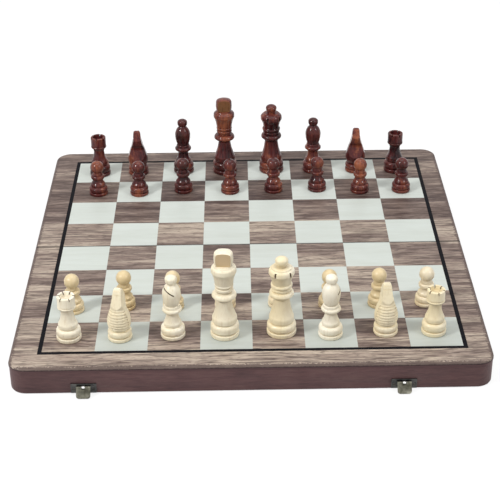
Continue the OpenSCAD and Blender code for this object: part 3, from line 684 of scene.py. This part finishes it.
# A closed outline in the upright plane across X or Y, run out to both sides
def slab(outline, axis, width):
    bm = bmesh.new()
    offset = Vector((1, 0, 0) if axis == "X" else (0, 1, 0)) * width * mm
    verts = []
    for across, up in outline:
        flat = Vector((0, across, up) if axis == "X" else (across, 0, up)) * mm
        verts.append(bm.verts.new(flat - offset / 2))
    face = bm.faces.new(verts)
    grown = bmesh.ops.extrude_face_region(bm, geom=[face])["geom"]
    bmesh.ops.translate(bm, vec=offset, verts=[v for v in grown if isinstance(v, bmesh.types.BMVert)])
    return toMesh(bm, "slab")


# Runs a list of modifiers on a mesh and returns the result as a plain mesh
def worked(mesh, steps):
    body = show(bpy.data.objects.new("worked", mesh))
    helpers = []
    for kind, settings in steps:
        modifier = body.modifiers.new(kind, kind)
        for name, value in settings.items():
            if isinstance(value, bpy.types.Mesh):
                value = show(bpy.data.objects.new("helper", value))
                helpers.append(value)
            setattr(modifier, name, value)
    graph = bpy.context.evaluated_depsgraph_get()
    result = bpy.data.meshes.new_from_object(body.evaluated_get(graph), depsgraph=graph)
    for thing in [body] + helpers:
        bpy.data.objects.remove(thing)
    return result


def cut(*meshes):
    return [("BOOLEAN", {"operation": "DIFFERENCE", "solver": "EXACT", "object": mesh}) for mesh in meshes]


def keep(mesh):
    return ("BOOLEAN", {"operation": "INTERSECT", "solver": "EXACT", "object": mesh})


def turnZ(degrees):
    return Matrix.Rotation(math.radians(degrees), 4, "Z")


# Shades smooth, with a crease wherever two faces meet at more than the given angle
def softShade(mesh, degrees=38):
    mesh.shade_smooth()
    mesh.set_sharp_from_angle(angle=math.radians(degrees))


# The name of the piece that stands for a CAD node
def pieceName(nodeName):
    first, *rest = nodeName.split("_")
    return first + "".join(word.capitalize() for word in rest)


# Stands a finished mesh for CAD nodes: it rides the first node's body
def addPiece(name, mesh, finishes, slotName, *replaced):
    piece = show(bpy.data.objects.new(name, mesh))
    mesh.name = name
    for finishName in finishes:
        mesh.materials.append(materials[finishName])
    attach(piece, nodes[replaced[0]]["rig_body"])
    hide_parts(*replaced)
    return piece


# Chess pieces
king = {
    "profile": [
        (10.5, 0), (11.6, 1.1, .32), (11.6, 2.9), (10.7, 4, .3), (9.8, 4.2), (11.4, 7, .5), (11.4, 8.9, .02),
        (8.9, 12.3, .75), (10, 14.2, .4), (10, 16.6, .05), (9.2, 18.6, .15), (5.6, 32.6, -.45), (8.6, 35.6),
        (9.8, 37.4, .5), (7.9, 39.8, .45), (6.4, 40), (6, 40.2), (6, 41.9), (7.3, 43.3, .5), (6.3, 44.6, .5),
        (6.3, 45.4), (7.5, 46.7, .35), (7.2, 47.7, .15), (9.3, 57.4, -.3), (10, 60.2, .4), (10, 61),
        (8.3, 63.3, .5), (7.8, 63.9), (7, 64.5, .15), (7.5, 73.6, .45), (6, 75.9, .45), (0, 77, .29)],
    "flat": 4.7,  # from the middle to each flat of the finial
    "flatFrom": 64.8,
}
queen = {
    "profile": [
        (10.8, 0), (11.9, 1.1, .32), (11.9, 2.9), (11, 4, .3), (10.1, 4.15), (11.7, 6.6, .45), (11.7, 8, .02),
        (8.9, 10.95, .75), (10, 12.9, .4), (10, 15.4, .05), (9.3, 17.4, .15), (6.2, 32.4, -.45), (8.7, 35.6),
        (9.8, 37.2, .45), (8, 39.5, .45), (7, 39.7), (7, 40.1), (7.8, 41.4, .4), (7.1, 42.6, .4), (7.1, 43.2),
        (8.6, 44.7, .5), (7.6, 46.1, .4), (7.4, 46.4), (9.6, 54.4, -.3), (10.2, 56.5, .35), (10.2, 57.1, .02),
        (8.2, 59.9, .6), (8, 60.2), (7.3, 61.05, .2), (3.9, 61.2), (3.9, 63.2), (5.2, 65.8, .35), (4, 68.5, .45),
        (0, 69.6, .35)],
    "notches": 5,
    "notchTurn": -120.5,
    "notchSize": 1.5,
    "notchRadius": 3.2,
    "notchPlace": (12.2, 57.4),
}
bishop = {
    "profile": [
        (8.8, 0), (9.85, 1.05, .3), (9.85, 2.4), (9, 3.4, .28), (8.2, 3.55), (9.65, 6, .4), (9.65, 7.5, .02),
        (6.6, 10.55, .85), (7.2, 11.9, .2), (7.15, 13.1, .04), (6.6, 14.2, .1), (4.8, 21, -.35), (6.9, 23.7),
        (7.85, 25, .35), (6.6, 26.75, .35), (6.3, 27.3), (6.3, 28.3), (5.6, 29.2, .2), (5.4, 29.4), (7.4, 39.4, .5),
        (3.2, 48.3, 1.12), (3.1, 48.5), (4.7, 51.6, .6), (3.7, 54.5, .5), (0, 55.6, .35)],
    "cutSize": (14.8, 16.0, 0.9),
    "cutPlace": (-4.6, 0, 0),
    "cutHeight": 42.0,
    "cutTilt": 31,
}
rook = {
    "profile": [
        (8.9, 0), (10, 1.1, .32), (10, 2.6), (9.1, 3.6, .3), (8.3, 3.75), (9.8, 6.3, .42), (9.8, 7.8, .02),
        (7, 10.95, .8), (7.9, 12.6, .3), (7.85, 14.2, .04), (7.2, 15.8, .12), (4.9, 25.2, -.5), (6.3, 28.9, -.2),
        (7.4, 29.9, .35), (7.4, 30.1), (6.5, 31, .2), (6.5, 31.1), (6.9, 31.3), (7.2, 31.9, .15), (7.2, 39.1),
        (6.5, 39.8, .2), (5.1, 39.8), (4.3, 36.2), (0, 36.2)],
    "slots": 6,
    "slotTurn": -122,
    "slotSize": (7.6, 1.0, 6.0),
    "slotPlace": (7.4, 0, 40.4),
    "bowl": 5.15,  # the slots lie further out than this
}
pawn = {
    "profile": [
        (7.8, 0), (8.8, 1, .3), (8.8, 2.1), (8, 3, .26), (7.4, 3.1), (8.6, 5.1, .3), (8.6, 6.3, .02),
        (6.4, 8.75, .6), (6.8, 9.6, .12), (6.75, 10.7, .03), (6.2, 11.7, .1), (4.2, 15.7, -.2), (6.1, 16.7, .35),
        (6.3, 17.9, .1), (5.2, 19.8, .45), (4.6, 19.9), (4.6, 21.6), (4, 22.9), (6.2, 27.8, .665), (0, 34, 1.816)],
}
knight = {
    "profile": [
        (8.7, 0), (9.8, 1.1, .32), (9.8, 2.2), (8.9, 3.2, .3), (8.2, 3.3), (9.6, 5.5, .35), (9.6, 6.3, .02),
        (7.2, 8.95, .75), (0, 9)],
    "foot": 8.6,
    "height": 45.6,
    # side view: forward and the share of the head's height
    "side": [(-10, 0), (-10, .36), (-7.4, .5), (-5.6, .62), (-3.9, .74), (-2.3, .85), (-.9, .94), (.6, 1),
             (2.2, .99), (3.6, .95), (4.6, .89), (6.6, .8), (8.3, .72), (8.8, .67), (8.2, .62), (6.6, .6),
             (5, .615), (3.5, .58), (2.9, .52), (3.4, .46), (5, .38), (7, .29), (10, .2), (10, 0)],
    # front view: half the width and the share of the height
    "flank": [(10, 0), (10, .2), (9.1, .28), (8, .37), (6.6, .49), (5.1, .61), (4.1, .72), (3.7, .82), (3.5, .92),
              (3, .97), (2, 1.0), (0, 1.01)],
    "width": 24.0,  # of the blank that both views are cut from
    # the turned body that the blank is cut down to: widest radius, its height, and how it curves above and below
    "swell": 9.5,
    "swellHeight": 15.0,
    "bowAbove": 30.0,
    "bowBelow": 11.0,
    "swellTop": 50.0,
    "swellSteps": 16,
    "swellStep": 1.35,
    # rings of the mane, which run round the back only
    "maneCuts": 8,
    "maneStart": 1.6,  # above the foot
    "maneStep": 2.4,
    "maneDepth": 0.75,
    "maneBlock": ((24, 17, 60), (0, -11.5, 30)),
    "crestSize": (12, 1.6, 0.45),
    "crestCuts": [(-1.4, 43.2), (-2.5, 40.6)],
    "mouthSize": (12, 5, 0.5),
    "mouth": (9.0, 32.2),
    "eye": (3.6, 40.2),
    "eyeSize": (0.8, 0.6),
    "eyeDepth": 1.2,
    "eyeApart": 4.0,
    "voxel": 0.33,
}


def slots(kind):
    return [block(kind["slotSize"], kind["slotPlace"], turnZ(360 / kind["slots"] * k + kind["slotTurn"]))
            for k in range(kind["slots"])]


def ellipse(centre, wide, tall, steps):
    return [(math.cos(a) * wide + centre[0], math.sin(a) * tall + centre[1])
            for a in (math.tau * k / steps for k in range(steps))]


def notches(kind):
    outline = ellipse(kind["notchPlace"], kind["notchRadius"], kind["notchRadius"], 32)
    found = []
    for k in range(kind["notches"]):
        notch = slab(outline, "Y", kind["notchSize"])
        notch.transform(turnZ(360 / kind["notches"] * k + kind["notchTurn"]))
        found.append(notch)
    return found


# Gives the faces that lie deeper than the turned surface, where they lie further out than inner, the cut finish: a
# painted shade for the inside of notches, slots and cuts
def markCuts(mesh, profile, inner=0.0):
    path = [point * mm for point in tracePath(profile)]
    for face in mesh.polygons:
        height = face.center.z
        outer = max((start.real + (end.real - start.real) * (height - start.imag) / (end.imag - start.imag)
                     for start, end in zip(path, path[1:])
                     if start.imag != end.imag and min(start.imag, end.imag) <= height <= max(start.imag, end.imag)),
                    default=0.0)
        deep = inner * mm < face.center.xy.length < outer - 0.08 * mm
        level = inner > 0 and abs(face.normal.z) > 0.5
        face.material_index = 2 if deep and not level else 0
    return mesh


def makeKing():
    depth = 10.0
    flats = [block((2 * depth, depth, 2 * depth), (0, s * (king["flat"] + depth / 2), king["flatFrom"] + depth))
             for s in (-1, 1)]
    mesh = worked(turnedMesh(king["profile"]), cut(*flats))
    for face in mesh.polygons:
        onFlat = abs(face.normal.y) > 0.99 and face.center.z > king["flatFrom"] * mm
        face.material_index = 1 if onFlat else 0
    return mesh


def makeBishop():
    lean = Matrix.Rotation(math.radians(bishop["cutTilt"]), 4, "Y")
    tilt = Matrix.Translation((0, 0, bishop["cutHeight"])) @ lean
    mesh = worked(turnedMesh(bishop["profile"]), cut(block(bishop["cutSize"], bishop["cutPlace"], tilt)))
    return markCuts(mesh, bishop["profile"])


def envelopeRadius(height):
    above = height - knight["swellHeight"]
    bow = knight["bowAbove"] if above > 0 else knight["bowBelow"]
    return knight["swell"] - bow + math.sqrt(bow ** 2 - above ** 2)


def maneRings():
    bm = bmesh.new()
    for k in range(knight["maneCuts"]):
        height = knight["foot"] + knight["maneStart"] + k * knight["maneStep"]
        centre = Vector((envelopeRadius(height) + 0.15, 0, height)) * mm
        tube = Matrix.Translation(centre) @ Matrix.Rotation(math.pi / 2, 4, "X")
        ring = bmesh.ops.create_circle(bm, segments=10, radius=knight["maneDepth"] * mm, matrix=tube)["verts"]
        edges = list({edge for vert in ring for edge in vert.link_edges})
        bmesh.ops.spin(bm, geom=ring + edges, cent=(0, 0, 0), axis=(0, 0, 1), angle=math.tau,
                       steps=48, use_merge=True)
    rings = toMesh(bm, "rings")
    return worked(rings, [keep(block(*knight["maneBlock"]))])


def makeKnight():
    foot, width, top = knight["foot"], knight["width"], knight["swellTop"]
    rise = knight["height"] - foot
    profile = [(y, foot + share * rise) for y, share in knight["side"]]
    right = [(x, foot + share * rise) for x, share in knight["flank"]]
    front = right + [(-x, z) for x, z in reversed(right[:-1])]
    heights = [foot - 0.2 + k * knight["swellStep"] for k in range(knight["swellSteps"])]
    envelope = turnedMesh([(envelopeRadius(z), z) for z in heights] + [(knight["swell"], top), (0, top)])
    head = worked(slab(profile, "X", width), [
        keep(slab(front, "Y", width)), keep(envelope),
        ("REMESH", {"mode": "VOXEL", "voxel_size": knight["voxel"] * mm, "use_smooth_shade": True}),
        ("SMOOTH", {"factor": 0.5, "iterations": 3})])
    details = [maneRings()]
    details += [block(knight["crestSize"], (0, y, z)) for y, z in knight["crestCuts"]]
    details.append(block(knight["mouthSize"], (0, *knight["mouth"])))
    for way in (-1, 1):
        eye = slab(ellipse(knight["eye"], *knight["eyeSize"], 16), "X", knight["eyeDepth"])
        eye.transform(Matrix.Translation((way * knight["eyeApart"] * mm, 0, 0)))
        details.append(eye)
    head = worked(head, cut(*details))
    bm = bmesh.new()
    bm.from_mesh(head)
    bm.from_mesh(turnedMesh(knight["profile"]))
    mesh = bpy.data.meshes.new("knight")
    bm.to_mesh(mesh)
    bm.free()
    return mesh


shapes = {
    "king": makeKing(),
    "queen": markCuts(worked(turnedMesh(queen["profile"]), cut(*notches(queen))), queen["profile"]),
    "bishop": makeBishop(),
    "knight": makeKnight(),
    "rook": markCuts(worked(turnedMesh(rook["profile"]), cut(*slots(rook))), rook["profile"], rook["bowl"]),
    "pawn": turnedMesh(pawn["profile"]),
}
print("chess shapes are turned and carved")

backRank = ["rook_left", "knight_left", "bishop_left", "king", "queen", "bishop_right", "knight_right", "rook_right"]
# Turn of each back rank piece about its own axis, in degrees
turns = {"light": [0, -14, 0, -4, 0, 240, 6, 40], "dark": [20, 184, 270, 2, 10, 270, 176, 0]}
slotNames = {"light": "light_wood", "dark": "dark_lacquer"}


def standPiece(nodeName, side, turn):
    low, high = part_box(nodeName)
    mesh = shapes[nodeName.split("_")[1]].copy()
    spot = Vector(((low.x + high.x) / 2, (low.y + high.y) / 2, low.z))
    mesh.transform(Matrix.Translation(spot) @ turnZ(turn))
    softShade(mesh)
    addPiece(pieceName(nodeName), mesh, [side, side + "Bare", side + "Cut"], slotNames[side], nodeName)


for side in ("light", "dark"):
    for ending, turn in zip(backRank, turns[side]):
        standPiece(f"{side}_{ending}", side, turn)
    for column in range(1, 9):
        standPiece(f"{side}_pawn_{column}", side, 45.0 * column)
print("chess pieces stand on their squares")


# Softened copies of the walls and the metal parts
def mergedCopy(nodeName):
    bm = bmesh.new()
    bm.from_mesh(nodes[nodeName].data)
    bmesh.ops.remove_doubles(bm, verts=bm.verts, dist=0.000001)
    bmesh.ops.dissolve_limit(bm, angle_limit=math.radians(0.5), verts=bm.verts, edges=bm.edges)
    return toMesh(bm, nodeName)


def addSoftCopy(nodeName, finishName, slotName, width):
    mesh = mergedCopy(nodeName)
    softShade(mesh, 30)
    piece = addPiece(pieceName(nodeName), mesh, [finishName], slotName, nodeName)
    rounding = piece.modifiers.new("roundedEdges", "BEVEL")
    rounding.width = width * mm
    rounding.segments = 2
    rounding.limit_method = "ANGLE"
    rounding.angle_limit = math.radians(40)
    rounding.harden_normals = True


soft = {
    "wallEdge": 0.35,  # radius of the rounded edges
    "metalEdge": 0.08,
    "walls": {"outer": "wallAlong", "fold": "wallAlong", "left": "wallAcross", "right": "wallAcross"},
    "metal": {"catch_plates": "plate", "left_catch_tongue": "tongue", "right_catch_tongue": "tongue",
              "catch_keepers": "plate"},
}
for half in ("front", "rear"):
    for wall, finishName in soft["walls"].items():
        addSoftCopy(f"{half}_{wall}_wall", finishName, "mahogany", soft["wallEdge"])
    addSoftCopy(half + "_hinge_leaves", "tongue", "antique_metal", soft["metalEdge"])
for nodeName, finishName in soft["metal"].items():
    addSoftCopy(nodeName, finishName, "antique_metal", soft["metalEdge"])
print("walls and fittings are softened")


felt = {
    "edge": 0.4,  # radius of its rounded edge
}


def addFelt(half):
    nodeName = half + "_felt_lining"
    low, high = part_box(nodeName)
    size = (high - low) / mm
    bm = bmesh.new()
    bm.from_mesh(block(size, (low + high) / 2 / mm))
    bmesh.ops.bevel(bm, geom=bm.edges, offset=felt["edge"] * mm, segments=3, profile=0.5,
                    affect="EDGES", material=-1)
    mesh = toMesh(bm, "felt")
    softShade(mesh, 60)
    lining = addPiece(half + "FeltLining", mesh, ["felt"], "felt", nodeName)


for half in ("front", "rear"):
    addFelt(half)


# Finishes of the CAD nodes that show as they are
def dress(nodeName, finishName):
    node = nodes[nodeName]
    node.data.materials.clear()
    node.data.materials.append(materials[finishName])


for half in ("front", "rear"):
    dress(half + "_walnut_face", "walnut")
    dress(half + "_pale_squares", "pale")
    dress(half + "_black_line", "black")
    dress(half + "_panel_core", "core")
    dress(half + "_screws", "screw")
for nodeName in ("hinge_pins", "catch_pins"):
    dress(nodeName, "tongue")
print("CAD nodes have their finishes")

bpy.context.scene.view_settings.view_transform = "Standard"
